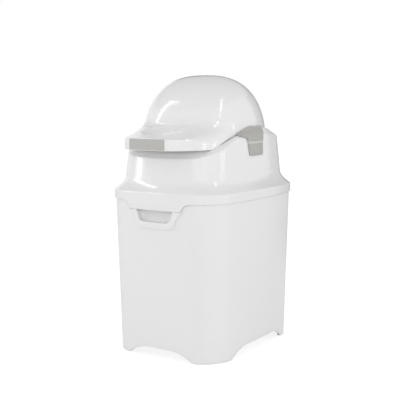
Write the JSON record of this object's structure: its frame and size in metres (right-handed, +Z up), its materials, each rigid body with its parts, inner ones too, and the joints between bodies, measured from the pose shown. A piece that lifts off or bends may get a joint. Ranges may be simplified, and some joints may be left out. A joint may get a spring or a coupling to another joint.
{
  "type": "nappy bin",
  "caption": "Tall white nappy bin with a hinged head, a turning domed drum with a grey-padded visor, a weighted piston in the drum, a front finger grip and a footed tub.",
  "frame": {"origin": "middle of the bin's plan on the floor", "axes": "+Z up; -Y is the front, where the finger grip and the drum's visor are; +X is the right-hand side seen from the front"},
  "size_m": [0.3018, 0.4319, 0.597],
  "materials": {
    "white_satin": "fine satin, moulded white polypropylene",
    "white_gloss": "glossy moulded white plastic",
    "white_inner": "satin white plastic inside",
    "warm_grey": "matt warm grey, soft to the touch",
    "grey_rubber": "matt grey sealing rubber",
    "nylon": "natural nylon",
    "steel": "plated steel",
    "cast_steel": "painted cast weight"
  },
  "bodies": {
    "bin": {"bin_tub": "white_satin", "bag_ring": "white_inner", "rim_gasket": "grey_rubber", "hinge_pin_left": "steel", "hinge_pin_right": "steel"},
    "head": {"head_shell": "white_gloss", "head_funnel": "white_inner", "funnel_screws": "steel", "front_drum_seal": "grey_rubber", "rear_drum_seal": "grey_rubber", "bush_left": "nylon", "bush_right": "nylon", "clip_left": "warm_grey", "clip_right": "warm_grey"},
    "drum": {"drum_shell": "white_gloss", "visor_underside": "white_inner", "handle_pad": "warm_grey", "mouth_plate": "white_gloss", "mouth_seal": "grey_rubber", "drum_cup": "white_inner", "cup_screws": "steel", "trunnion_left": "steel", "trunnion_right": "steel"},
    "piston": {"piston_plate": "white_inner", "piston_seal": "grey_rubber", "piston_weight": "cast_steel", "piston_cover": "white_inner", "piston_screws": "steel"}
  },
  "joints": [
    {"name": "head_hinge", "type": "hinge", "parent": "bin", "child": "head", "pos_m": [0, 0.2065, 0.329], "axis": [-1, 0, 0], "range_deg": [0, 95]},
    {"name": "drum_turn", "type": "hinge", "parent": "head", "child": "drum", "pos_m": [0, 0, 0.46], "axis": [-1, 0, 0], "range_deg": [0, 150]},
    {"name": "piston_slide", "type": "slide", "parent": "drum", "child": "piston", "axis": [0, 0, 1], "range_m": [0, 0.09]}
  ]
}
